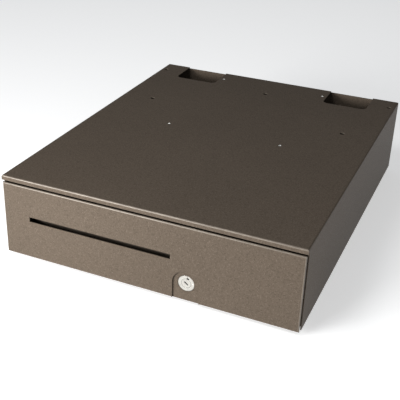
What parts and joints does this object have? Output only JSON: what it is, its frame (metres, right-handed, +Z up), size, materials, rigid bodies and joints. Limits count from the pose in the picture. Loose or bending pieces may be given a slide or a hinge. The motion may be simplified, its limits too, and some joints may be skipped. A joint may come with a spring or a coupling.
{
  "type": "cash drawer",
  "caption": "Sheet-metal point-of-sale cash drawer: folded case, sliding drawer with media slot, lock, till tray and electric release.",
  "frame": {"origin": "centre of the footprint, on the surface that the feet stand on", "axes": "+X to the right seen from the front, +Y towards the rear, +Z up; the drawer opens along -Y"},
  "size_m": [0.41, 0.5084, 0.119],
  "materials": {
    "powder_coat": "fine-textured brown-grey powder coat",
    "zinc_steel": "bright zinc-plated steel",
    "nickel": "brushed nickel",
    "black_plastic": "moulded ABS, fine spark texture",
    "white_nylon": "natural nylon",
    "rubber": "matt black rubber",
    "copper_coil": "enamelled copper winding",
    "circuit_board": "green solder mask"
  },
  "bodies": {
    "cabinet": {"case_cover": "powder_coat", "base_pan": "powder_coat", "rear_panel": "powder_coat", "top_insert_1": "zinc_steel", "top_insert_2": "zinc_steel", "top_insert_3": "zinc_steel", "top_insert_4": "zinc_steel", "foot_1": "rubber", "foot_2": "rubber", "foot_3": "rubber", "foot_4": "rubber", "rail_outer_left": "zinc_steel", "rail_outer_right": "zinc_steel", "latch_bracket": "zinc_steel", "latch_pivot_pin": "zinc_steel", "latch_spring": "zinc_steel", "solenoid_frame": "zinc_steel", "solenoid_coil": "copper_coil", "ejector_housing": "black_plastic", "ejector_spring": "zinc_steel", "switch_body": "black_plastic", "interface_board": "circuit_board", "interface_jack": "black_plastic"},
    "rail_middles": {"rail_middle_left": "zinc_steel", "rail_middle_right": "zinc_steel"},
    "ball_cages_outer": {"cage_outer_left": "zinc_steel", "cage_outer_right": "zinc_steel"},
    "ball_cages_inner": {"cage_inner_left": "zinc_steel", "cage_inner_right": "zinc_steel"},
    "drawer": {"drawer_front": "powder_coat", "drawer_pan": "powder_coat", "slot_guide": "powder_coat", "till_ledge_left": "powder_coat", "till_ledge_right": "powder_coat", "rail_inner_left": "zinc_steel", "rail_inner_right": "zinc_steel", "lock_bracket": "zinc_steel", "lock_body": "nickel", "lock_nut": "zinc_steel", "rod_bush": "white_nylon", "striker": "zinc_steel", "till": "black_plastic", "weight_axle": "zinc_steel"},
    "lock_cylinder": {"lock_plug": "nickel", "lock_rod": "zinc_steel", "lock_tail_cam": "zinc_steel"},
    "latch": {"latch_lever": "zinc_steel"},
    "plunger": {"solenoid_plunger": "zinc_steel"},
    "ejector": {"ejector_plunger": "white_nylon"},
    "switch": {"switch_lever": "zinc_steel"},
    "weight_1": {"note_weight_1": "black_plastic"},
    "weight_2": {"note_weight_2": "black_plastic"},
    "weight_3": {"note_weight_3": "black_plastic"},
    "weight_4": {"note_weight_4": "black_plastic"},
    "weight_5": {"note_weight_5": "black_plastic"}
  },
  "joints": [
    {"name": "drawer_slide", "type": "slide", "parent": "cabinet", "child": "drawer", "axis": [0, -1, 0], "range_m": [0, 0.38]},
    {"name": "rail_middle_slide", "type": "slide", "parent": "cabinet", "child": "rail_middles", "axis": [0, -1, 0], "range_m": [0, 0.19]},
    {"name": "outer_cage_slide", "type": "slide", "parent": "cabinet", "child": "ball_cages_outer", "axis": [0, -1, 0], "range_m": [0, 0.095]},
    {"name": "inner_cage_slide", "type": "slide", "parent": "cabinet", "child": "ball_cages_inner", "axis": [0, -1, 0], "range_m": [0, 0.285]},
    {"name": "lock_turn", "type": "hinge", "parent": "drawer", "child": "lock_cylinder", "pos_m": [0.058, -0.23375, 0.0296], "axis": [0, 1, 0], "range_deg": [0, 135]},
    {"name": "latch_swing", "type": "hinge", "parent": "cabinet", "child": "latch", "pos_m": [0.016, 0.22825, 0.0275], "axis": [0, 0, -1], "range_deg": [0, 16]},
    {"name": "plunger_slide", "type": "slide", "parent": "cabinet", "child": "plunger", "axis": [1, 0, 0], "range_m": [0, 0.00234]},
    {"name": "ejector_slide", "type": "slide", "parent": "cabinet", "child": "ejector", "axis": [0, -1, 0], "range_m": [0, 0.03]},
    {"name": "switch_swing", "type": "hinge", "parent": "cabinet", "child": "switch", "pos_m": [-0.02, 0.18625, 0.0215], "axis": [0, 0, 1], "range_deg": [0, 10]},
    {"name": "note_weight_1_swing", "type": "hinge", "parent": "drawer", "child": "weight_1", "pos_m": [-0.1476, 0.05225, 0.0997], "axis": [-1, 0, 0], "range_deg": [0, 32]},
    {"name": "note_weight_2_swing", "type": "hinge", "parent": "drawer", "child": "weight_2", "pos_m": [-0.0738, 0.05225, 0.0997], "axis": [-1, 0, 0], "range_deg": [0, 32]},
    {"name": "note_weight_3_swing", "type": "hinge", "parent": "drawer", "child": "weight_3", "pos_m": [0, 0.05225, 0.0997], "axis": [-1, 0, 0], "range_deg": [0, 32]},
    {"name": "note_weight_4_swing", "type": "hinge", "parent": "drawer", "child": "weight_4", "pos_m": [0.0738, 0.05225, 0.0997], "axis": [-1, 0, 0], "range_deg": [0, 32]},
    {"name": "note_weight_5_swing", "type": "hinge", "parent": "drawer", "child": "weight_5", "pos_m": [0.1476, 0.05225, 0.0997], "axis": [-1, 0, 0], "range_deg": [0, 32]}
  ],
  "couplings": [
    {"joint": "rail_middle_slide", "follows": "drawer_slide", "ratio": 0.5},
    {"joint": "outer_cage_slide", "follows": "drawer_slide", "ratio": 0.25},
    {"joint": "inner_cage_slide", "follows": "drawer_slide", "ratio": 0.75},
    {"joint": "ejector_slide", "follows": "drawer_slide", "ratio": 0.0789},
    {"joint": "switch_swing", "follows": "drawer_slide", "rad_per_m": 0.459},
    {"joint": "latch_swing", "follows": "plunger_slide", "rad_per_m": 119.2}
  ]
}
